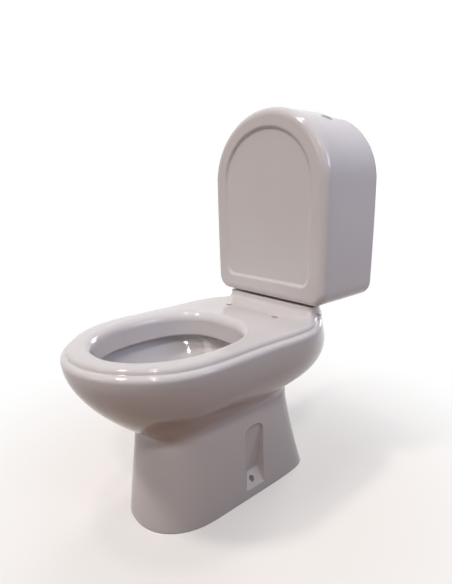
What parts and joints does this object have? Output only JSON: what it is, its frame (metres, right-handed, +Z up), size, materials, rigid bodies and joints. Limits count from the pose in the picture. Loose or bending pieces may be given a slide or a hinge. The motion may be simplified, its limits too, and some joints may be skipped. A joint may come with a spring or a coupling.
{
  "type": "close coupled toilet",
  "caption": "Close coupled toilet: glazed china pan with an open rim and pedestal, and an arch-topped cistern with a shoulder push button, on a swept shelf.",
  "frame": {"origin": "on the floor, at the middle of the overall length and width", "axes": "+Z up, -Y towards the front of the bowl, +Y towards the wall behind the cistern"},
  "size_m": [0.3788, 0.6802, 0.85],
  "materials": {
    "china": "gloss",
    "chrome": "polished",
    "cover_plastic": "satin",
    "valve_plastic": "satin",
    "rubber": "matt",
    "silicone": "satin",
    "plated_steel": "satin"
  },
  "bodies": {
    "china": {"pan": "china", "cistern": "china", "button_bezel": "chrome", "rear_cover": "cover_plastic", "cover_plugs": "cover_plastic", "button_nut": "cover_plastic", "bellows_cup": "cover_plastic", "flush_valve_body": "valve_plastic", "flush_valve_backnut": "valve_plastic", "valve_cage": "valve_plastic", "lifter_base": "valve_plastic", "fill_valve_body": "valve_plastic", "fill_valve_backnut": "valve_plastic", "inlet_filter": "valve_plastic", "fill_valve_cap": "valve_plastic", "cover_gasket": "rubber", "button_washer": "rubber", "flush_valve_washer": "rubber", "coupling_gasket": "rubber", "fill_valve_washer": "rubber", "fill_diaphragm": "rubber", "bolt_rubber_washers": "rubber", "cistern_buffers": "rubber", "air_bellows": "silicone", "lifter_bellows": "silicone", "air_tube": "silicone", "cover_screws": "plated_steel", "lever_pin": "plated_steel", "coupling_bolts": "plated_steel", "shelf_washers": "plated_steel", "wing_nuts": "plated_steel"},
    "button": {"flush_button": "chrome"},
    "plunger": {"flush_plunger": "valve_plastic", "plunger_seal": "rubber"},
    "float": {"float_cup": "valve_plastic", "float_rod": "valve_plastic"},
    "lever": {"float_lever": "valve_plastic"}
  },
  "joints": [
    {"name": "button_press", "type": "slide", "parent": "china", "child": "button", "axis": [-0.5113, 0, -0.8594], "range_m": [0, 0.008], "stiffness_N_per_m": 400, "deforming": ["air_bellows"]},
    {"name": "plunger_lift", "type": "slide", "parent": "china", "child": "plunger", "axis": [0, 0, 1], "range_m": [0, 0.025], "deforming": ["lifter_bellows"]},
    {"name": "float_rise", "type": "slide", "parent": "china", "child": "float", "axis": [0, 0, 1], "range_m": [0, 0.022]},
    {"name": "float_lever_swing", "type": "hinge", "parent": "china", "child": "lever", "pos_m": [-0.118, 0.28, 0.675], "axis": [0, -1, 0], "range_deg": [0, 30.5]}
  ],
  "couplings": [
    {"joint": "plunger_lift", "follows": "button_press", "ratio": 3.125},
    {"joint": "float_lever_swing", "follows": "float_rise", "rad_per_m": 23.8}
  ]
}
